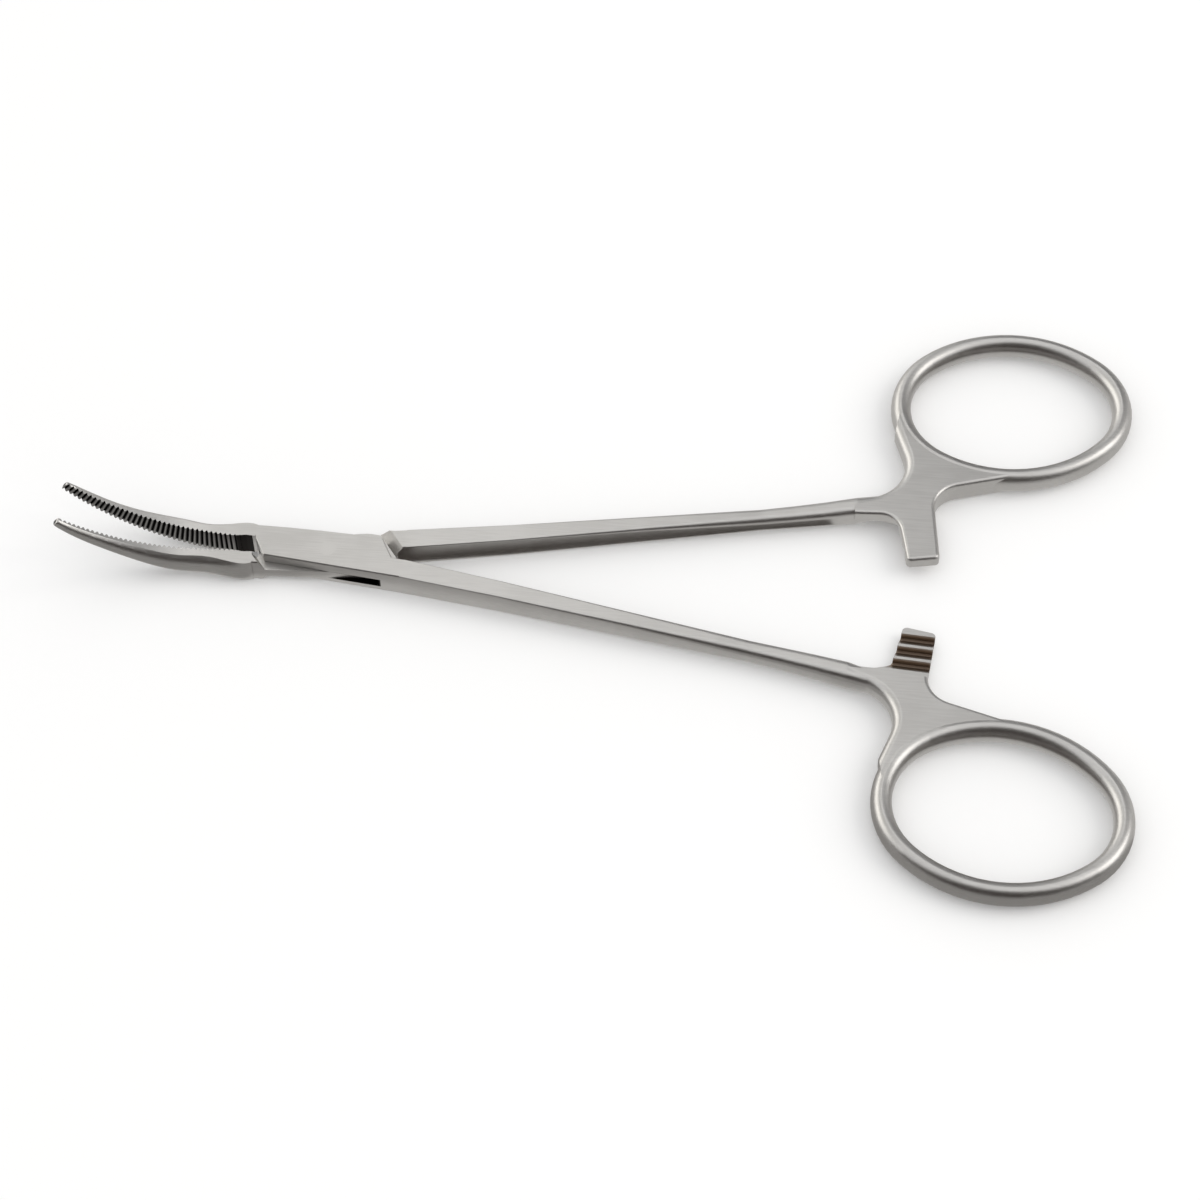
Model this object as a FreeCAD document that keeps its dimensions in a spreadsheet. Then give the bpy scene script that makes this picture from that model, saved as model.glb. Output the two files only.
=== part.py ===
import FreeCAD, Part
import math
import os

# Curved mosquito forceps with a box lock, in millimetres.
# The origin is on the pivot axis, in the plane that the forceps lies on.
# +X runs towards the finger rings and +Z up, the way the jaws curve.
# Each arm is drawn as it lies when closed, with its jaw on the +Y side and its handle
# on the -Y side. The tongue arm is the mirror image of that. Both then turn about the
# pivot, by half the opening each.

SIZES = {
    # Lock
    "lockThickness": 3.05,
    "topWall": 1.25,
    "bottomWall": 0.65,
    "slideGap": 0.04,
    "edgeSlant": 32.0,
    "jawWallEdge": 7.15,
    "shankWallEdge": 6.34,
    "slotEnd": 6.94,
    "lockGap": 0.14,
    "jawRamp": 0.60,
    "shankRamp": 0.92,
    "lockHalfWidth": 2.50,
    "tongueBulge": 3.15,
    "edgeBevel": 0.12,
    "pinRadius": 1.00,
    "pinGap": 0.03,
    "openHalfAngle": 4.29,
    # Jaws
    "jawStart": 9.30,
    "jawTurn": 0.43,
    "jawSpread": 0.28,
    "bendStart": 12.0,
    "bendRadius": 28.8,
    "bendAngle": 40.35,
    "rootDepth": 2.60,
    "tipDepth": 0.70,
    "tipHeight": 1.05,
    "tipRound": 0.25,
    "biteGap": 0.04,
    "rootRelief": 0.45,
    "serrationPitch": 0.58,
    "serrationDepth": 0.30,
    "serrationLand": 0.15,
    # Shanks
    "shankStart": 9.0,
    "shankOffset": 0.28,
    "shankSlope": 0.1107,
    "shankRootShift": 0.22,
    "shankRootWidth": 2.60,
    "shankWidth": 2.04,
    "shankHeight": 2.32,
    "shankToBar": 3.05,
    # Finger rings
    "ringAlong": 79.93,
    "ringAside": 22.68,
    "ringHalfLength": 13.145,
    "ringHalfWidth": 10.58,
    "ringSideExtra": 1.60108,
    "ringWidest": 0.21,
    "ringTurn": 1.91,
    "wireWidth": 2.35,
    "wireHeight": 2.95,
    # Ratchet webs
    "webBeforeBar": 7.25,
    "webStartWidth": 2.25,
    "webThickness": 2.84,
    "outerCurve": 5.2,
    "ringCurve": 3.4,
    "lockCurve": 2.4,
    "webRound": 1.05,
    "barPastRing": 1.265,
    "barWidth": 3.95,
    "barRound": 0.45,
    "boxBarReach": 0.22,
    "tongueBarReach": 0.85,
    "barEndSlope": 0.11,
    "barCorner": 0.55,
    "stepAside": 7.10,
    "ratchetStart": 0.50,
    "ratchetPitch": 1.80,
    "ratchetDepth": 0.75,
    "ratchetRoot": 0.35,
    "ratchetLand": 0.35,
    "ratchetGap": 0.04,
}

RATCHET_TEETH = 3
# How far a cutter runs on past the face that it cuts
OVERRUN = 3.0
# How far a jaw starts inside the lock
LAP = 0.6

doc = FreeCAD.newDocument("mosquito_forceps")
sheet = doc.addObject("Spreadsheet::Sheet", "Sizes")
for row, (alias, value) in enumerate(SIZES.items(), start=1):
    sheet.set("A%d" % row, alias)
    sheet.set("B%d" % row, str(value))
    sheet.setAlias("B%d" % row, alias)
doc.recompute()


def size(alias):
    return float(sheet.get(alias))


Vector = FreeCAD.Vector
Rotation = FreeCAD.Rotation
Placement = FreeCAD.Placement
ALONG = Vector(1, 0, 0)
ASIDE = Vector(0, 1, 0)
UP = Vector(0, 0, 1)
FLAT = Placement()

THICKNESS = size("lockThickness")
MIDDLE = THICKNESS / 2
SLANT = math.radians(size("edgeSlant"))
BEND = math.radians(size("bendAngle"))


def withRoundedCorners(points):
    """A corner with a third number, its radius, becomes an arc between two corners."""
    result = []
    for number, point in enumerate(points):
        if isinstance(point, list) or len(point) == 2:
            result.append(point)
            continue
        corner = Vector(point[0], point[1], 0)
        before = Vector(*points[number - 1][:2], 0) - corner
        after = Vector(*points[(number + 1) % len(points)][:2], 0) - corner
        before.normalize()
        after.normalize()
        half = before.getAngle(after) / 2
        reach = point[2] / math.tan(half)
        inward = (before + after).normalize()
        middle = corner + inward * (point[2] / math.sin(half) - point[2])
        first = corner + before * reach
        last = corner + after * reach
        result += [(first.x, first.y), [(middle.x, middle.y)], (last.x, last.y)]
    return result


def sketch(name, points, placement):
    """A closed outline. A list between two corners holds the points of a curve that joins them."""
    drawing = doc.addObject("Sketcher::SketchObject", name)
    points = withRoundedCorners(points)
    start = points[0]
    bow = []
    for point in points[1:] + points[:1]:
        if isinstance(point, list):
            bow = point
            continue
        through = [Vector(*place, 0) for place in [start] + bow + [point]]
        if len(bow) == 0:
            edge = Part.LineSegment(*through)
        elif len(bow) == 1:
            edge = Part.Arc(*through)
        else:
            edge = Part.BSplineCurve()
            edge.interpolate(through)
        drawing.addGeometry(edge, False)
        start = point
        bow = []
    drawing.Placement = placement
    return drawing


def profile(name, points, placement, length, both=False):
    """An outline, extruded along its normal."""
    solid = doc.addObject("Part::Extrusion", name)
    solid.Base = sketch(name + "_sketch", points, placement)
    solid.DirMode = "Normal"
    solid.Solid = True
    solid.Symmetric = both
    solid.setExpression("LengthFwd", length)
    return solid


def mirrored(points, sign):
    """Plan points of an arm, on the arm's own side of the X axis."""
    return [
        mirrored(point, sign) if isinstance(point, list) else (point[0], sign * point[1], *point[2:])
        for point in points
    ]


def join(name, solids):
    fused = doc.addObject("Part::MultiFuse", name)
    fused.Shapes = solids
    return fused


def remove(name, solid, cutter):
    cut = doc.addObject("Part::Cut", name)
    cut.Base = solid
    cut.Tool = cutter
    return cut


# Lock

def slantX(distance, side, lean):
    """X of a slanted edge at a distance from the pivot, where Y is side."""
    return (distance - lean * math.sin(SLANT) * side) / math.cos(SLANT)


def shankMiddle(x):
    return -size("shankOffset") - size("shankSlope") * x


def bevelled(name, blank, start, finish):
    """Small bevels along the upper and lower edges, but not where the jaw and shank go on."""
    doc.recompute()
    bevel = size("edgeBevel")
    edges = []
    for number, edge in enumerate(blank.Shape.Edges, start=1):
        ends = [vertex.X for vertex in edge.Vertexes]
        upright = abs(edge.CenterOfMass.z - MIDDLE) < 0.1
        joined = max(ends) < start + 0.01 or min(ends) > finish - 0.01
        if not upright and not joined:
            edges.append((number, bevel, bevel))
    chamfer = doc.addObject("Part::Chamfer", name)
    chamfer.Base = blank
    chamfer.Edges = edges
    return chamfer


def lockBlank(name, isBox, sign):
    """Full thickness of the lock, with the roots of its jaw and shank."""
    wide = size("lockHalfWidth")
    start = -size("jawStart")
    finish = size("shankStart")
    half = size("shankRootWidth") / 2
    middle = shankMiddle(finish) - size("shankRootShift")
    inner = middle + half
    outer = middle - half
    relief = size("rootRelief")
    jawSide = [(-2.0, 0.98 * wide)]
    root = (start, 0.84 * wide)
    # The box bows out between the ends of its walls. The tongue arm bulges before its shank.
    if isBox:
        jawEdge = size("jawWallEdge")
        shankEdge = size("shankWallEdge")
        near = -0.83 * wide
        points = [
            (start, relief),
            (-slantX(jawEdge, -relief, 1), relief),
            (-slantX(jawEdge, -near, 1), near),
            [(0.8, -0.976 * wide)],
            (finish, outer),
            (finish, inner),
            (slantX(shankEdge, inner + 0.1, 1), inner + 0.1),
            (slantX(shankEdge, wide, 1), wide),
            jawSide,
            root,
        ]
    else:
        free = size("slotEnd") - size("lockGap")
        side = 0.96 * wide
        bulge = size("tongueBulge")
        points = [
            (start, relief),
            (-slantX(free, -relief, 1), relief),
            (-slantX(free, side, 1), -side),
            [(-1.5, -0.98 * wide), (2.0, 0.2 - bulge), (4.6, -bulge), (6.3, 0.3 - bulge)],
            (7.6, outer + 0.1),
            (finish, outer),
            (finish, inner),
            (slantX(free, 0, 1), 0),
            (slantX(free, side, 1), side),
            jawSide,
            root,
        ]
    blank = profile(name + "_blank", mirrored(points, sign), FLAT, "Sizes.lockThickness")
    return bevelled(name + "_bevelled", blank, start, finish)


def slantPlacement(sign):
    """A vertical plane whose X runs across the slanted edges and whose Y is up."""
    across = Vector(math.cos(SLANT), -sign * math.sin(SLANT), 0)
    return Placement(Vector(), Rotation(across, UP, across.cross(UP), "XYZ"))


def boxSlot(sign):
    """The slot that the tongue passes through, open on both sides of the box."""
    end = size("slotEnd")
    low = size("bottomWall")
    high = THICKNESS - size("topWall")
    points = [(-end, low), (end, low), (end, high), (-end, high)]
    return profile("box_slot", points, slantPlacement(sign), "4 * Sizes.lockHalfWidth + 6", True)


def tongueRelief(name, sign, level, rise):
    """What is milled off one side of the tongue, between the ramps of its shoulders."""
    jawFoot = size("jawWallEdge") + size("lockGap")
    shankFoot = size("shankWallEdge") + size("lockGap")
    wall = abs(rise)
    jawSpread = size("jawRamp") / size("topWall") * (wall + OVERRUN)
    shankSpread = size("shankRamp") / size("topWall") * (wall + OVERRUN)
    outer = level + math.copysign(wall + OVERRUN, rise)
    points = [
        (-jawFoot, level),
        (shankFoot, level),
        (shankFoot + shankSpread, outer),
        (-jawFoot - jawSpread, outer),
    ]
    return profile(name, points, slantPlacement(sign), "4 * Sizes.lockHalfWidth + 6", True)


def pinHole(name, gap):
    hole = doc.addObject("Part::Cylinder", name)
    hole.setExpression("Radius", "Sizes.pinRadius" + gap)
    hole.setExpression("Height", "Sizes.lockThickness + 2")
    hole.Placement = Placement(Vector(0, 0, -1), Rotation())
    return hole


# Jaws

def bendPoint(angle, run=0):
    """Centre of the jaw's bite face at an angle of the bend, or a run before it."""
    radius = size("bendRadius")
    x = -size("bendStart") - radius * math.sin(angle) + run
    return Vector(x, 0, MIDDLE + radius * (1 - math.cos(angle)))


def jawSection(name, sign, station):
    """A flat bite face, narrow flats above and below, and a rounded back."""
    angle, run, depth, flat, height = station
    bite = size("biteGap")
    low = -height / 2
    high = height / 2
    shoulder = flat * depth
    points = [(low, bite), (high, bite), (high, shoulder), [(0, depth)], (low, shoulder)]
    upright = Vector(math.sin(angle), 0, math.cos(angle))
    frame = Rotation(upright, ASIDE, upright.cross(ASIDE), "XYZ")
    return sketch(name, mirrored(points, sign), Placement(bendPoint(angle, run), frame))


def jaw(name, sign):
    """A straight root that starts inside the lock, then the upward bend."""
    fullest = size("rootDepth")
    bent = 0.92 * fullest
    narrowing = bent - size("tipDepth")
    fall = THICKNESS - size("tipHeight")
    straight = size("bendStart") - size("jawStart")
    # Angle of the bend, run before it, depth, share of the depth that is flat, height
    stations = [
        (0, straight + LAP, 0.84 * fullest, 0.95, THICKNESS),
        (0, straight / 2, fullest, 0.80, THICKNESS),
        (0, 0, bent, 0.70, THICKNESS),
    ]
    for share in (0.25, 0.5, 0.75, 1.0):
        height = THICKNESS - fall * share ** 1.35
        stations.append((BEND * share, 0, bent - narrowing * share, 0.70 - 0.35 * share, height))
    loft = doc.addObject("Part::Loft", name + "_jaw")
    loft.Sections = [
        jawSection("%s_jaw_section_%d" % (name, number), sign, station)
        for number, station in enumerate(stations, start=1)
    ]
    loft.Solid = True
    doc.recompute()
    end = bendPoint(BEND)
    along = Vector(-math.cos(BEND), 0, math.sin(BEND))
    radius = size("tipRound")
    edges = []
    for number, edge in enumerate(loft.Shape.Edges, start=1):
        atTip = all(abs((vertex.Point - end).dot(along)) < 0.01 for vertex in edge.Vertexes)
        if atTip and abs(edge.CenterOfMass.y) > 2 * size("biteGap"):
            edges.append((number, radius, radius))
    tip = doc.addObject("Part::Fillet", name + "_jaw_tip")
    tip.Base = loft
    tip.Edges = edges
    return tip


def serrations(name, sign, phase):
    """Transverse V grooves all along the bite face, square to the bend."""
    pitch = size("serrationPitch")
    depth = size("serrationDepth")
    bite = size("biteGap")
    half = (pitch - size("serrationLand")) / 2
    mouth = half * (depth + bite) / depth
    tall = THICKNESS
    straight = size("bendStart") - size("jawStart") - LAP
    grooves = []
    position = size("bendRadius") * BEND - (0.6 + phase) * pitch
    while position > -straight:
        angle = max(position, 0) / size("bendRadius")
        middle = bendPoint(angle, max(-position, 0))
        along = Vector(math.cos(angle), 0, -math.sin(angle))
        upright = Vector(math.sin(angle), 0, math.cos(angle))
        low = middle - upright * tall
        corners = [
            low - along * mouth,
            low + along * mouth,
            low + ASIDE * (sign * (bite + depth)),
        ]
        face = Part.Face(Part.makePolygon(corners + corners[:1]))
        grooves.append(face.extrude(upright * (2 * tall)))
        position -= pitch
    cutter = doc.addObject("Part::Feature", name + "_serrations")
    cutter.Shape = Part.makeCompound(grooves)
    return cutter


def rootRelief(name, sign):
    """The bite face bows away beside the lock, behind the last serration."""
    start = -size("jawStart")
    relief = size("rootRelief")
    bite = size("biteGap")
    points = [
        (start + 1, -1),
        (start + 1, relief),
        (start - 0.5, relief),
        [(start - 1.6, 0.45 * relief)],
        (start - 3.2, bite),
        (start - 3.2, -1),
    ]
    return profile(name + "_root_relief", mirrored(points, sign), FLAT, "Sizes.lockThickness + 1")


# Shanks and rings

def barAlong():
    """X of the ratchet bar's middle, just past the near end of the ring."""
    return size("ringAlong") - size("ringHalfLength") + size("barPastRing")


def shank(name, sign):
    """Square at the lock, slimmer and rounder in the middle, and tall again at the web."""
    start = size("shankStart")
    run = barAlong() - size("shankToBar") - start
    root = size("shankRootWidth")
    width = size("shankWidth")
    height = size("shankHeight")
    web = size("webThickness")
    # Share of the run, shift of the middle, width, height, radius of the corners
    stations = [
        (0.00, -size("shankRootShift"), root, THICKNESS, 0.10),
        (0.21, 0.00, (root + width) / 2, (2 * THICKNESS + height) / 3, 0.16),
        (0.48, 0.00, width, (THICKNESS + 2 * height) / 3, 0.38),
        (0.73, 0.00, width, height, 0.80),
        (0.80, -0.04, 1.06 * width, height + 0.08, 0.80),
        (0.865, -0.12, 1.14 * width, height + 0.25, 0.85),
        (0.93, -0.28, 1.24 * width, web, 0.95),
        (1.00, -0.65, 1.00 * width, 0.90 * web, 0.95),
    ]
    sections = []
    for number, (share, shift, across, tall, corner) in enumerate(stations, start=1):
        x = start + share * run
        middle = sign * (shankMiddle(x) + shift)
        points = [
            (middle - across / 2, MIDDLE - tall / 2, corner),
            (middle + across / 2, MIDDLE - tall / 2, corner),
            (middle + across / 2, MIDDLE + tall / 2, corner),
            (middle - across / 2, MIDDLE + tall / 2, corner),
        ]
        placement = Placement(Vector(x, 0, 0), Rotation(ASIDE, UP, ALONG, "XYZ"))
        sections.append(sketch("%s_shank_section_%d" % (name, number), points, placement))
    bar = doc.addObject("Part::Loft", name + "_shank")
    bar.Sections = sections
    bar.Ruled = True
    bar.Solid = True
    return bar


def ringArcs():
    """The oval centre line of a ring, as two long side arcs and two short end arcs.

    Each arc gives its centre, its radius, and the angles at which it starts and ends, in the
    ring's own frame, whose X runs away from the lock and whose Y points at the other ring."""
    length = size("ringHalfLength")
    width = size("ringHalfWidth")
    widest = size("ringWidest")
    before = length - widest
    beyond = length + widest
    side = (beyond ** 2 + width ** 2) / (2 * width) + size("ringSideExtra")
    near = (before ** 2 + width ** 2 - 2 * width * side) / (2 * (before - side))
    far = (beyond ** 2 + width ** 2 - 2 * width * side) / (2 * (beyond - side))
    high = width - side
    nearJoint = math.atan2(-high, near - before)
    farJoint = math.atan2(-high, beyond - far)
    return [
        ((-widest, high), side, farJoint, nearJoint),
        ((near - length, 0), near, nearJoint, 2 * math.pi - nearJoint),
        ((-widest, -high), side, -nearJoint, -farJoint),
        ((length - far, 0), far, -farJoint, farJoint),
    ]


def ringPlace(across, aside):
    """A plan point of an arm, from a point in its ring's own frame."""
    turn = math.radians(-size("ringTurn"))
    x = across * math.cos(turn) - aside * math.sin(turn)
    y = across * math.sin(turn) + aside * math.cos(turn)
    return size("ringAlong") + x, y - size("ringAside")


def ringShare(x, y):
    """How far a plan point of an arm lies from its ring's middle: 1 is on the centre line."""
    turn = math.radians(size("ringTurn"))
    x = x - size("ringAlong")
    y = y + size("ringAside")
    across = x * math.cos(turn) - y * math.sin(turn)
    aside = x * math.sin(turn) + y * math.cos(turn)
    return math.hypot(across / size("ringHalfLength"), aside / size("ringHalfWidth"))


def fingerRing(name, sign):
    """An oval wire section, turned about the centre of each arc of the ring."""
    turn = math.radians(-size("ringTurn"))
    spans = []
    for number, (centre, radius, start, finish) in enumerate(ringArcs(), start=1):
        wire = doc.addObject("Part::Ellipse", "%s_ring_wire_%d" % (name, number))
        wire.setExpression("MajorRadius", "Sizes.wireHeight / 2")
        wire.setExpression("MinorRadius", "Sizes.wireWidth / 2")
        x, y = ringPlace(*centre)
        pivot = Vector(x, sign * y, MIDDLE)
        reach = Vector(math.cos(start + turn), sign * math.sin(start + turn), 0)
        wire.Placement = Placement(pivot + reach * radius, Rotation(UP, reach, UP.cross(reach), "XYZ"))
        span = doc.addObject("Part::Revolution", "%s_ring_span_%d" % (name, number))
        span.Source = wire
        span.Base = pivot
        span.Axis = UP * sign
        span.Angle = math.degrees(finish - start)
        span.Solid = True
        spans.append(span)
    return join(name + "_ring", spans)


# Ratchet webs

def web(name, sign, reach):
    """A flat pad that joins shank, ring and ratchet bar, with rounded edges."""
    along = barAlong()
    start = along - size("webBeforeBar")
    middle = shankMiddle(start)
    level = shankMiddle(along)
    half = size("webStartWidth") / 2
    slope = size("barEndSlope") * size("barWidth") / 2
    left = along - size("barWidth") / 2
    right = along + size("barWidth") / 2
    corner = size("barCorner")
    across = size("ringHalfLength")
    aside = size("ringHalfWidth")
    points = [
        (start, middle - half),
        (along - 0.05, level - 2.34, size("outerCurve")),
        ringPlace(-across - 1.02, 0.36 * aside),
        ringPlace(-across, 0),
        [ringPlace(-0.92 * across, 0.42 * aside)],
        ringPlace(-0.71 * across, 0.72 * aside),
        [ringPlace(-0.38 * across, 0.93 * aside)],
        ringPlace(0, aside),
        ringPlace(-0.05 * across, aside + 0.48),
        (right - 0.05, level - 1.64, size("ringCurve")),
        (right + 0.3, reach - slope, corner),
        (left + 0.5, reach + slope, corner),
        (left - 0.35, level + 2.06, size("lockCurve")),
        (start, middle + half),
    ]
    flat = Placement(Vector(0, 0, MIDDLE - size("webThickness") / 2), Rotation())
    plate = profile(name + "_web_plate", mirrored(points, sign), flat, "Sizes.webThickness")
    doc.recompute()
    radii = []
    for number, edge in enumerate(plate.Shape.Edges, start=1):
        centre = edge.CenterOfMass
        hidden = max(ringShare(end.X, sign * end.Y) for end in edge.Vertexes) < 1.15
        if hidden or abs(centre.z - MIDDLE) < 0.1 or centre.x < start + 0.1:
            continue
        outer = centre.x < along and sign * centre.y < shankMiddle(centre.x)
        radius = size("webRound") if outer else size("barRound")
        radii.append((number, radius, radius))
    softened = doc.addObject("Part::Fillet", name + "_web_rounded")
    softened.Base = plate
    softened.Edges = radii
    return softened


def ratchetCut(name, sign, face, reach):
    """Halves the bar's thickness and cuts the teeth into it, on the face that points up or down."""
    crest = -size("ratchetGap")
    root = crest - size("ratchetDepth")
    pitch = size("ratchetPitch")
    land = size("ratchetLand")
    aside = -size("ratchetStart")
    rows = [(reach + OVERRUN, crest), (aside, crest)]
    for tooth in range(RATCHET_TEETH):
        rows += [(aside - 0.10, root), (aside - 0.10 - size("ratchetRoot"), root)]
        aside -= pitch
        rows += [(aside + land, crest), (aside, crest)]
    rows += [(-size("stepAside"), crest), (-size("stepAside"), OVERRUN), (reach + OVERRUN, OVERRUN)]
    points = [(sign * y, MIDDLE + face * z) for y, z in rows]
    placement = Placement(Vector(barAlong(), 0, 0), Rotation(ASIDE, UP, ALONG, "XYZ"))
    return profile(name + "_ratchet_cut", points, placement, "6 * Sizes.lockThickness", True)


def arm(name, isBox, sign):
    blank = lockBlank(name, isBox, sign)
    if isBox:
        lock = remove(name + "_slotted", blank, boxSlot(sign))
        lock = remove(name + "_lock", lock, pinHole(name + "_pin_hole", ""))
        reach = size("boxBarReach")
        face = 1
    else:
        low = size("bottomWall") + size("slideGap")
        high = THICKNESS - size("topWall") - size("slideGap")
        above = tongueRelief(name + "_above", sign, high, THICKNESS - high)
        below = tongueRelief(name + "_below", sign, low, -low)
        lock = remove(name + "_milled", blank, join(name + "_milling", [above, below]))
        lock = remove(name + "_lock", lock, pinHole(name + "_pin_hole", " + Sizes.pinGap"))
        reach = size("tongueBarReach")
        face = -1
    notched = remove(name + "_web", web(name, sign, reach), ratchetCut(name, sign, face, reach))
    bite = remove(name + "_bite", jaw(name, sign), serrations(name, sign, 0 if isBox else 0.5))
    bite = remove(name + "_bite_relieved", bite, rootRelief(name, sign))
    spread = " - Sizes.jawSpread" if isBox else " + Sizes.jawSpread"
    bite.setExpression("Placement.Rotation.Angle", "Sizes.jawTurn" + spread)
    return join(name, [lock, bite, shank(name, sign), notched, fingerRing(name, sign)])


boxArm = arm("box_arm", True, 1)
tongueArm = arm("tongue_arm", False, -1)

lockPin = doc.addObject("Part::Cylinder", "lock_pin")
lockPin.setExpression("Radius", "Sizes.pinRadius")
lockPin.setExpression("Height", "Sizes.lockThickness")

boxArm.setExpression("Placement.Rotation.Angle", "-Sizes.openHalfAngle")
tongueArm.setExpression("Placement.Rotation.Angle", "Sizes.openHalfAngle")

doc.recompute()

subParts = [boxArm, tongueArm, lockPin]
for item in doc.Objects:
    if "Invalid" in item.State or "Error" in item.State:
        raise RuntimeError(item.Name + " did not build")
for item in subParts:
    item.Label = item.Name
    if item.Shape.isNull() or not item.Shape.isValid():
        raise RuntimeError(item.Label + " has no valid shape")
    if len(item.Shape.Solids) != 1:
        raise RuntimeError(item.Label + " came apart")

os.makedirs("parts", exist_ok=True)
for item in subParts:
    item.Shape.exportStep("parts/" + item.Label + ".step")
    print(item.Label, len(item.Shape.Solids), "solid", round(item.Shape.Volume, 2), "mm3")
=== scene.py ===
import math
import bpy
from mathutils import Matrix, Vector

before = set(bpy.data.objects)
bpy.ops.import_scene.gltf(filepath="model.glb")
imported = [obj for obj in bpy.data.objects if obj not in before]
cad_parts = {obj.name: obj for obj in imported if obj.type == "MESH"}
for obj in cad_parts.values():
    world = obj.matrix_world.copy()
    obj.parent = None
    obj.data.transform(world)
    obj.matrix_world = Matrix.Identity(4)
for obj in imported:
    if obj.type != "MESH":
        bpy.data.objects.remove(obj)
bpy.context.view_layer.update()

# Curved mosquito forceps in satin steel, lying on a pale floor.
# Lengths are in metres and angles in degrees. X runs to the finger rings, Z is up.
scene = bpy.context.scene
print("frame loaded:", ", ".join(sorted(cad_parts)))


# Small helpers

def newMaterial(name):
    material = bpy.data.materials.new(name)
    material.use_nodes = True
    nodes = material.node_tree.nodes
    nodes.clear()
    output = nodes.new("ShaderNodeOutputMaterial")
    return material, nodes, material.node_tree.links, output


def newGroup(name, inputs, outputs):
    group = bpy.data.node_groups.new(name, "ShaderNodeTree")
    for label, kind, value in inputs:
        socket = group.interface.new_socket(name=label, in_out="INPUT", socket_type=kind)
        socket.default_value = value
    for label, kind in outputs:
        group.interface.new_socket(name=label, in_out="OUTPUT", socket_type=kind)
    enter = group.nodes.new("NodeGroupInput")
    leave = group.nodes.new("NodeGroupOutput")
    return group, enter, leave


def mathNode(tree, operation, *values, clamp=False):
    node = tree.nodes.new("ShaderNodeMath")
    node.operation = operation
    node.use_clamp = clamp
    for number, value in enumerate(values):
        if isinstance(value, (int, float)):
            node.inputs[number].default_value = value
        else:
            tree.links.new(value, node.inputs[number])
    return node.outputs[0]


def fadeNode(tree, value, low, high):
    # 0 below low, 1 above high, smooth between
    node = tree.nodes.new("ShaderNodeMapRange")
    node.interpolation_type = "SMOOTHSTEP"
    tree.links.new(value, node.inputs["Value"])
    for label, edge in (("From Min", low), ("From Max", high)):
        if isinstance(edge, (int, float)):
            node.inputs[label].default_value = edge
        else:
            tree.links.new(edge, node.inputs[label])
    return node.outputs["Result"]


def noiseNode(tree, vector, scale, detail, stretch):
    mapping = tree.nodes.new("ShaderNodeMapping")
    mapping.inputs["Scale"].default_value = stretch
    tree.links.new(vector, mapping.inputs["Vector"])
    noise = tree.nodes.new("ShaderNodeTexNoise")
    noise.inputs["Scale"].default_value = scale
    noise.inputs["Detail"].default_value = detail
    tree.links.new(mapping.outputs["Vector"], noise.inputs["Vector"])
    return noise.outputs["Fac"]


# Camera at the photo's angle

view = {
    "target": (0.03184, -0.00368, 0.00152),
    "azimuth": 6.76,
    "elevation": 52.63,
    "roll": -1.51,
    "distance": 0.3534,
    "lens": 92.91,
    "sensor": 36.0,
}

turn = (
    Matrix.Rotation(math.radians(view["azimuth"]), 4, "Z")
    @ Matrix.Rotation(math.radians(90 - view["elevation"]), 4, "X")
    @ Matrix.Rotation(math.radians(view["roll"]), 4, "Z")
)
camera = bpy.data.objects.new("camera", bpy.data.cameras.new("camera"))
camera.data.lens = view["lens"]
camera.data.sensor_width = view["sensor"]
camera.data.clip_start = 0.01
place = Vector(view["target"]) + (turn @ Vector((0, 0, 1))) * view["distance"]
camera.matrix_world = Matrix.Translation(place) @ turn
scene.collection.objects.link(camera)
scene.camera = camera
print("camera placed")


# Studio: floor, sky, lamp and reflection cards

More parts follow.
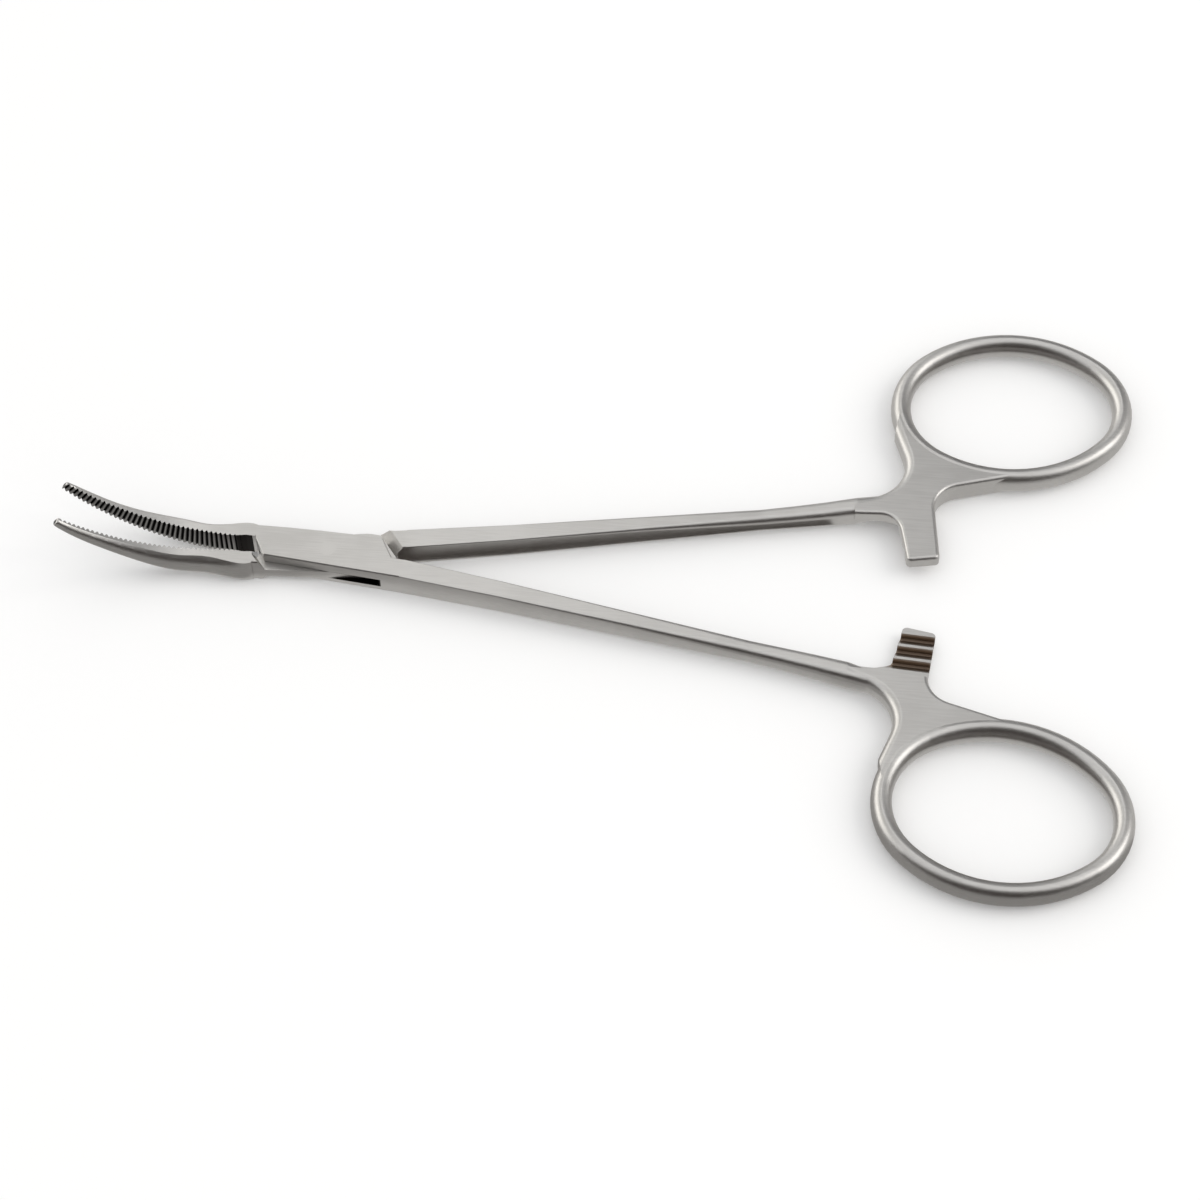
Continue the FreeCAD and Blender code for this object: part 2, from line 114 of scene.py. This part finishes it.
studio = {
    "floorSize": 6.0,
    "floorDrop": 0.00005,
    "floorColour": (0.98, 0.98, 0.98, 1),
    "skyLevel": 0.90,
    "skyColour": (1.0, 1.0, 1.0, 1),
    "lampPower": 6.5,
    "lampSize": 1.15,
    "lampDistance": 1.6,
    "lampAzimuth": 80.0,
    "lampElevation": 38.0,
    "lampColour": (1.0, 0.975, 0.93),
    "centreX": 0.03,
    "cardRadius": 0.6,
    # azimuth from +Y towards +X, and the height of the card's edge there
    "fenceLow": 2.0,
    "fenceTop": (
        (0, 12), (60, 8), (90, 6), (120, 26), (150, 58), (180, 72),
        (210, 58), (240, 22), (270, 5), (300, 4), (330, 6), (360, 12),
    ),
    "fenceColour": (0.026, 0.017, 0.014, 1),
    "screenLow": 14.0,
    "screenTop": ((-3, 51.0), (0, 51.8), (4, 53.0), (10, 53.5), (40, 54), (70, 54)),
    "screenColour": (0.22, 0.22, 0.225, 1),
    "glowLow": 6.0,
    "glowTop": ((-95, 36), (-60, 36), (-30, 36)),
    "glowColour": (2.10, 2.06, 1.96, 1),
    "paleLow": 36.0,
    "paleTop": ((-90, 60), (-60, 64), (-30, 66), (-17, 66)),
    "paleColour": (0.62, 0.615, 0.60, 1),
    "stripLow": 46.0,
    "stripTop": ((-13, 62), (-3, 60)),
    "stripColour": (2.60, 2.57, 2.50, 1),
    # painted shade: the floor near and far of the near arm, darker, seen only in reflections
    "nearShadeMatColour": (0.37, 0.36, 0.35, 1),
    "farShadeMatColour": (0.66, 0.65, 0.635, 1),
    "matReach": 0.25,
    # the line between the two mats, along the near arm
    "matLine": (
        (-0.25, -0.002), (0.0, -0.0034), (0.062, -0.0145), (0.066, -0.027),
        (0.078, -0.033), (0.092, -0.030), (0.25, -0.030),
    ),
    # painted shadow: a dark card on the floor right in front of the far shank, which only its near
    # wall's reflection shows
    "shankShadeMatColour": (0.045, 0.035, 0.030, 1),
    "shankMatCorners": (
        (0.0065, -0.0014), (0.020, 0.0006), (0.040, 0.0044), (0.058, 0.0078),
        (0.058, 0.0098), (0.040, 0.0064), (0.020, 0.0026), (0.0065, 0.0002),
    ),
    # and painted shade on the floor inside each finger ring, for its far inner wall's reflection
    "ringShadeMatColour": (0.050, 0.036, 0.031, 1),
    "ringShadeMatPlaces": ((0.078, 0.0305), (0.078, -0.0265)),
    "ringShadeMatHalf": (0.0075, 0.0052),
    "ringShadeMatPoints": 32,
    "matLift": 0.00001,
}


def cardObject(name, corners, faces):
    mesh = bpy.data.meshes.new(name)
    mesh.from_pydata(corners, [], faces)
    mesh.update()
    card = bpy.data.objects.new(name, mesh)
    scene.collection.objects.link(card)
    return card


def glowMaterial(name, colour, level):
    material, nodes, links, output = newMaterial(name)
    glow = nodes.new("ShaderNodeEmission")
    glow.inputs["Color"].default_value = colour
    glow.inputs["Strength"].default_value = level
    links.new(glow.outputs[0], output.inputs["Surface"])
    return material


def onlyReflected(card):
    card.visible_camera = False
    card.visible_diffuse = False
    card.visible_shadow = False
    card.visible_transmission = False


half = studio["floorSize"] / 2
low = -studio["floorDrop"]
floor = cardObject(
    "floor",
    [(-half, -half, low), (half, -half, low), (half, half, low), (-half, half, low)],
    [(0, 1, 2, 3)],
)
floorPaint, nodes, links, output = newMaterial("floorPaint")
matt = nodes.new("ShaderNodeBsdfDiffuse")
matt.inputs["Color"].default_value = studio["floorColour"]
links.new(matt.outputs[0], output.inputs["Surface"])
floor.data.materials.append(floorPaint)

world = bpy.data.worlds.new("studioSky")
scene.world = world
world.use_nodes = True
nodes = world.node_tree.nodes
links = world.node_tree.links
nodes.clear()
sky = nodes.new("ShaderNodeBackground")
sky.inputs["Color"].default_value = studio["skyColour"]
sky.inputs["Strength"].default_value = studio["skyLevel"]
backdrop = nodes.new("ShaderNodeBackground")
backdrop.inputs["Color"].default_value = (1, 1, 1, 1)
backdrop.inputs["Strength"].default_value = 1.0
path = nodes.new("ShaderNodeLightPath")
seen = path.outputs["Is Camera Ray"]
for ray in ("Is Transmission Ray", "Is Glossy Ray"):
    seen = mathNode(world.node_tree, "MAXIMUM", seen, path.outputs[ray])
choose = nodes.new("ShaderNodeMixShader")
links.new(seen, choose.inputs["Fac"])
links.new(sky.outputs[0], choose.inputs[1])
links.new(backdrop.outputs[0], choose.inputs[2])
output = nodes.new("ShaderNodeOutputWorld")
links.new(choose.outputs[0], output.inputs["Surface"])

lamp = bpy.data.objects.new("softLamp", bpy.data.lights.new("softLamp", "AREA"))
lamp.data.energy = studio["lampPower"]
lamp.data.size = studio["lampSize"]
lamp.data.color = studio["lampColour"]
aim = (
    Matrix.Rotation(math.radians(180 - studio["lampAzimuth"]), 4, "Z")
    @ Matrix.Rotation(math.radians(90 - studio["lampElevation"]), 4, "X")
)
middle = Vector((studio["centreX"], 0, 0))
lamp.matrix_world = Matrix.Translation(middle + (aim @ Vector((0, 0, 1))) * studio["lampDistance"]) @ aim
scene.collection.objects.link(lamp)

# Cards that only reflections show: the dark side by the camera, grey and pale screens behind
def standingCard(name, low, top, colour):
    corners = []
    for azimuth, high in top:
        side = math.radians(azimuth)
        for elevation in (low, high):
            height = studio["cardRadius"] * math.tan(math.radians(elevation))
            corners.append((
                studio["centreX"] + studio["cardRadius"] * math.sin(side),
                studio["cardRadius"] * math.cos(side),
                height,
            ))
    faces = [(2 * n, 2 * n + 2, 2 * n + 3, 2 * n + 1) for n in range(len(top) - 1)]
    card = cardObject(name, corners, faces)
    card.data.materials.append(glowMaterial(name + "Glow", colour, 1.0))
    onlyReflected(card)


def lyingCard(name, plan, lift, colour):
    card = cardObject(name, [(x, y, lift) for x, y in plan], [tuple(range(len(plan)))])
    card.data.materials.append(glowMaterial(name + "Glow", colour, 1.0))
    onlyReflected(card)


standingCard("darkFence", studio["fenceLow"], studio["fenceTop"], studio["fenceColour"])
standingCard("greyScreen", studio["screenLow"], studio["screenTop"], studio["screenColour"])
standingCard("leftGlow", studio["glowLow"], studio["glowTop"], studio["glowColour"])
standingCard("paleScreen", studio["paleLow"], studio["paleTop"], studio["paleColour"])
standingCard("brightStrip", studio["stripLow"], studio["stripTop"], studio["stripColour"])

# painted shade: darker copies of the floor close by, near and far of the near arm, which only the
# steel's reflections show
for name, side in (("shadeMat", -1), ("farShadeMat", 1)):
    edge = side * studio["matReach"]
    plan = [*studio["matLine"], (studio["matReach"], edge), (-studio["matReach"], edge)]
    colour = studio["nearShadeMatColour"] if side < 0 else studio["farShadeMatColour"]
    lyingCard(name, plan, studio["matLift"], colour)
# painted shadow on the floor under the far shank's near wall, seen only in reflections
lyingCard("shankShadeMat", studio["shankMatCorners"], 2 * studio["matLift"], studio["shankShadeMatColour"])
# painted shade on the floor inside each finger ring, seen only in reflections
for number, (middleX, middleY) in enumerate(studio["ringShadeMatPlaces"]):
    halfX, halfY = studio["ringShadeMatHalf"]
    steps = [2 * math.pi * n / studio["ringShadeMatPoints"] for n in range(studio["ringShadeMatPoints"])]
    oval = [(middleX + halfX * math.cos(step), middleY + halfY * math.sin(step)) for step in steps]
    lyingCard("ringShadeMat%d" % number, oval, 2 * studio["matLift"], studio["ringShadeMatColour"])

scene.view_settings.view_transform = "Standard"
print("studio set")


# Shared effects

# each grain's scale, detail and stretch
grains = {
    "Clouds": (160, 3, (1, 1, 1)),
    "Grain": (3200, 2, (1, 1, 1)),
    "Lines": (5200, 2, (0.05, 1, 1)),
}


def buildSatinGrain():
    # Soft clouds, fine grain and faint polishing lines, each around 0.5
    group, enter, leave = newGroup(
        "satinGrain",
        [],
        [("Clouds", "NodeSocketFloat"), ("Grain", "NodeSocketFloat"), ("Lines", "NodeSocketFloat")],
    )
    where = group.nodes.new("ShaderNodeTexCoord").outputs["Object"]
    for label, look in grains.items():
        group.links.new(noiseNode(group, where, *look), leave.inputs[label])
    return group


satinGrain = buildSatinGrain()
print("shared effects built")


# Arms

arms = {
    "steel": (0.595, 0.585, 0.57, 1),
    "steelDark": (0.54, 0.53, 0.515, 1),
    "roughness": 0.38,
    "roughnessSwing": 0.10,
    "grainHeight": 0.000002,
    "grainStrength": 0.4,
    "patchRange": (0.75, 1.25),
    # painted shade: near-black in the jaws' serrations; the next value paints their bite faces part of
    # the way to it
    "paintedGrooveShade": (0.012, 0.010, 0.009, 1),
    "paintedLandShade": 0.55,
    # painted shade, brown, down in the ratchet's notches
    "paintedNotchShade": (0.30, 0.235, 0.185, 1),
    "jawStart": -0.0090,
    "boxJawLean": 4.14,
    "tongueJawLean": 5.0,
    "toothCrest": 0.00004,
    "toothRoot": 0.00022,
    "biteReach": 0.0005,
    "wallSlope": 0.72,
    "barLeft": 0.0644,
    "barRight": 0.0720,
    "barStep": 0.0122,
    "barEnd": 0.0051,
    "midHeight": 0.001525,
    "notchCrest": 0.00010,
    "notchRoot": 0.00045,
    "slotStart": 0.0004,
    "slotFull": 0.0014,
    "slotFace": 0.00645,
    "slotEnd": 0.0073,
    "slotFloor": 0.00062,
    "slotRoof": 0.00183,
    "slotHalfWidth": 0.0036,
    # painted shade inside the lock's slot
    "paintedSlotShade": (0.020, 0.016, 0.014, 1),
}


def buildBiteShadeMask():
    # Painted shade: 1 down inside the serrations of both jaws, which mirror each other about Y = 0, and
    # at least Land on their bite faces
    group, enter, leave = newGroup(
        "biteShadeMask",
        [
            ("Jaw Start", "NodeSocketFloat", 0.0),
            ("Box Slope", "NodeSocketFloat", 0.0),
            ("Tongue Slope", "NodeSocketFloat", 0.0),
            ("Crest", "NodeSocketFloat", 0.0),
            ("Root", "NodeSocketFloat", 0.0),
            ("Land", "NodeSocketFloat", 0.0),
        ],
        [("Bite", "NodeSocketFloat")],
    )
    split = group.nodes.new("ShaderNodeSeparateXYZ")
    where = group.nodes.new("ShaderNodeTexCoord").outputs["Object"]
    group.links.new(where, split.inputs[0])
    x, y = split.outputs["X"], split.outputs["Y"]
    facing = group.nodes.new("ShaderNodeSeparateXYZ")
    group.links.new(group.nodes.new("ShaderNodeNewGeometry").outputs["Normal"], facing.inputs[0])
    isBox = mathNode(group, "GREATER_THAN", y, 0.0)
    slope = group.nodes.new("ShaderNodeMix")
    group.links.new(isBox, slope.inputs["Factor"])
    group.links.new(enter.outputs["Tongue Slope"], slope.inputs["A"])
    group.links.new(enter.outputs["Box Slope"], slope.inputs["B"])
    face = mathNode(group, "MULTIPLY", mathNode(group, "ABSOLUTE", x), slope.outputs["Result"])
    depth = mathNode(group, "SUBTRACT", mathNode(group, "ABSOLUTE", y), face)
    deep = fadeNode(group, depth, enter.outputs["Crest"], enter.outputs["Root"])
    deep = mathNode(group, "MAXIMUM", deep, enter.outputs["Land"])
    near = mathNode(group, "LESS_THAN", depth, arms["biteReach"])
    jawPart = mathNode(group, "LESS_THAN", x, enter.outputs["Jaw Start"])
    level = mathNode(group, "ABSOLUTE", facing.outputs["Z"])
    wall = mathNode(group, "LESS_THAN", level, arms["wallSlope"])
    mask = mathNode(group, "MULTIPLY", deep, near)
    mask = mathNode(group, "MULTIPLY", mask, jawPart)
    mask = mathNode(group, "MULTIPLY", mask, wall)
    group.links.new(mask, leave.inputs["Bite"])
    return group


def buildRatchetShadeMask():
    # Painted shade: rises to 1 down in the ratchet's notches, which face up on the box arm and down on
    # the tongue arm
    group, enter, leave = newGroup(
        "ratchetShadeMask",
        [
            (label, "NodeSocketFloat", 0.0)
            for label in ("Left", "Right", "Step", "End", "Middle", "Crest", "Root")
        ],
        [("Notch", "NodeSocketFloat")],
    )
    split = group.nodes.new("ShaderNodeSeparateXYZ")
    group.links.new(group.nodes.new("ShaderNodeTexCoord").outputs["Object"], split.inputs[0])
    x, y, z = split.outputs
    facing = group.nodes.new("ShaderNodeSeparateXYZ")
    group.links.new(group.nodes.new("ShaderNodeNewGeometry").outputs["Normal"], facing.inputs[0])
    side = mathNode(group, "MULTIPLY", mathNode(group, "SIGN", y), -1.0)
    depth = mathNode(group, "MULTIPLY", mathNode(group, "SUBTRACT", enter.outputs["Middle"], z), side)
    deep = fadeNode(group, depth, enter.outputs["Crest"], enter.outputs["Root"])
    outward = mathNode(group, "ABSOLUTE", y)
    tests = [
        mathNode(group, "GREATER_THAN", x, enter.outputs["Left"]),
        mathNode(group, "LESS_THAN", x, enter.outputs["Right"]),
        mathNode(group, "LESS_THAN", outward, enter.outputs["Step"]),
        mathNode(group, "GREATER_THAN", outward, enter.outputs["End"]),
        mathNode(group, "LESS_THAN", mathNode(group, "ABSOLUTE", facing.outputs["X"]), 0.5),
        mathNode(group, "GREATER_THAN", mathNode(group, "MULTIPLY", facing.outputs["Z"], side), -0.5),
    ]
    for test in tests:
        deep = mathNode(group, "MULTIPLY", deep, test)
    group.links.new(deep, leave.inputs["Notch"])
    return group


def buildSlotShadeMask():
    # Painted shade: 1 inside the open part of the lock's slot, beside the tongue
    group, enter, leave = newGroup(
        "slotShadeMask",
        [(label, "NodeSocketFloat", 0.0) for label in ("Start", "Full", "Face", "End", "Floor", "Roof")],
        [("Slot", "NodeSocketFloat")],
    )
    split = group.nodes.new("ShaderNodeSeparateXYZ")
    group.links.new(group.nodes.new("ShaderNodeTexCoord").outputs["Object"], split.inputs[0])
    x, y, z = split.outputs
    facing = group.nodes.new("ShaderNodeSeparateXYZ")
    group.links.new(group.nodes.new("ShaderNodeNewGeometry").outputs["Normal"], facing.inputs[0])
    # the lock's own near face has no slot past the face's edge
    nearFace = mathNode(group, "LESS_THAN", facing.outputs["Y"], -0.8)
    beforeFace = mathNode(group, "LESS_THAN", x, enter.outputs["Face"])
    onFace = mathNode(group, "MULTIPLY", nearFace, beforeFace)
    inside = mathNode(group, "LESS_THAN", x, enter.outputs["End"])
    inward = mathNode(group, "MULTIPLY", mathNode(group, "SUBTRACT", 1.0, nearFace), inside)
    mask = mathNode(group, "ADD", onFace, inward)
    tests = [
        fadeNode(group, x, enter.outputs["Start"], enter.outputs["Full"]),
        mathNode(group, "GREATER_THAN", z, enter.outputs["Floor"]),
        mathNode(group, "LESS_THAN", z, enter.outputs["Roof"]),
        mathNode(group, "LESS_THAN", mathNode(group, "ABSOLUTE", y), arms["slotHalfWidth"]),
    ]
    for test in tests:
        mask = mathNode(group, "MULTIPLY", mask, test)
    group.links.new(mask, leave.inputs["Slot"])
    return group


biteShadeMask = buildBiteShadeMask()
ratchetShadeMask = buildRatchetShadeMask()
slotShadeMask = buildSlotShadeMask()


def armSteel(name, hasSlot):
    material, nodes, links, output = newMaterial(name)
    tree = material.node_tree
    steel = nodes.new("ShaderNodeBsdfPrincipled")
    steel.inputs["Metallic"].default_value = 1.0
    links.new(steel.outputs[0], output.inputs["Surface"])

    grain = nodes.new("ShaderNodeGroup")
    grain.node_tree = satinGrain

    tone = nodes.new("ShaderNodeMix")
    tone.data_type = "RGBA"
    tone.inputs["A"].default_value = arms["steelDark"]
    tone.inputs["B"].default_value = arms["steel"]
    patches = mathNode(tree, "ADD", grain.outputs["Clouds"], grain.outputs["Lines"])
    links.new(fadeNode(tree, patches, *arms["patchRange"]), tone.inputs["Factor"])

    colour = tone.outputs["Result"]
    slopes = {
        "Box Slope": math.tan(math.radians(arms["boxJawLean"])),
        "Tongue Slope": math.tan(math.radians(arms["tongueJawLean"])),
    }
    # painted shade, mixed over the steel's tone: in the jaws' serrations, the ratchet's notches and the
    # lock's slot
    paintedShades = [
        (biteShadeMask, "Bite", "paintedGrooveShade", {
            "Jaw Start": arms["jawStart"], "Crest": arms["toothCrest"], "Root": arms["toothRoot"],
            "Land": arms["paintedLandShade"], **slopes,
        }),
        (ratchetShadeMask, "Notch", "paintedNotchShade", {
            "Left": arms["barLeft"], "Right": arms["barRight"], "Step": arms["barStep"],
            "End": arms["barEnd"], "Middle": arms["midHeight"],
            "Crest": arms["notchCrest"], "Root": arms["notchRoot"],
        }),
    ]
    if hasSlot:
        paintedShades.append((slotShadeMask, "Slot", "paintedSlotShade", {
            "Start": arms["slotStart"], "Full": arms["slotFull"], "Face": arms["slotFace"],
            "End": arms["slotEnd"], "Floor": arms["slotFloor"], "Roof": arms["slotRoof"],
        }))
    for group, label, shade, values in paintedShades:
        mask = nodes.new("ShaderNodeGroup")
        mask.node_tree = group
        for name, value in values.items():
            mask.inputs[name].default_value = value
        mix = nodes.new("ShaderNodeMix")
        mix.data_type = "RGBA"
        mix.inputs["B"].default_value = arms[shade]
        links.new(mask.outputs[label], mix.inputs["Factor"])
        links.new(colour, mix.inputs["A"])
        colour = mix.outputs["Result"]
    links.new(colour, steel.inputs["Base Color"])

    swing = mathNode(tree, "MULTIPLY", grain.outputs["Lines"], arms["roughnessSwing"])
    rough = mathNode(tree, "ADD", swing, arms["roughness"] - arms["roughnessSwing"] / 2)
    links.new(rough, steel.inputs["Roughness"])

    bump = nodes.new("ShaderNodeBump")
    bump.inputs["Strength"].default_value = arms["grainStrength"]
    bump.inputs["Distance"].default_value = arms["grainHeight"]
    links.new(grain.outputs["Grain"], bump.inputs["Height"])
    links.new(bump.outputs["Normal"], steel.inputs["Normal"])
    return material


def paint(nodeName, material):
    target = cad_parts[nodeName]
    for number in range(max(1, len(target.material_slots))):
        if number < len(target.material_slots):
            target.material_slots[number].material = material
        else:
            target.data.materials.append(material)


paint("box_arm", armSteel("boxArmSteel", True))
paint("tongue_arm", armSteel("tongueArmSteel", False))
print("arms finished")


# Lock pin

pin = {
    "steel": (0.575, 0.565, 0.55, 1),
    "roughness": 0.30,
    "roughnessSwing": 0.06,
}


def pinSteel():
    material, nodes, links, output = newMaterial("pinSteel")
    steel = nodes.new("ShaderNodeBsdfPrincipled")
    steel.inputs["Metallic"].default_value = 1.0
    steel.inputs["Base Color"].default_value = pin["steel"]
    links.new(steel.outputs[0], output.inputs["Surface"])
    grain = nodes.new("ShaderNodeGroup")
    grain.node_tree = satinGrain
    tree = material.node_tree
    swing = mathNode(tree, "MULTIPLY", grain.outputs["Grain"], pin["roughnessSwing"])
    rough = mathNode(tree, "ADD", swing, pin["roughness"] - pin["roughnessSwing"] / 2)
    links.new(rough, steel.inputs["Roughness"])
    return material


paint("lock_pin", pinSteel())
print("pin finished")
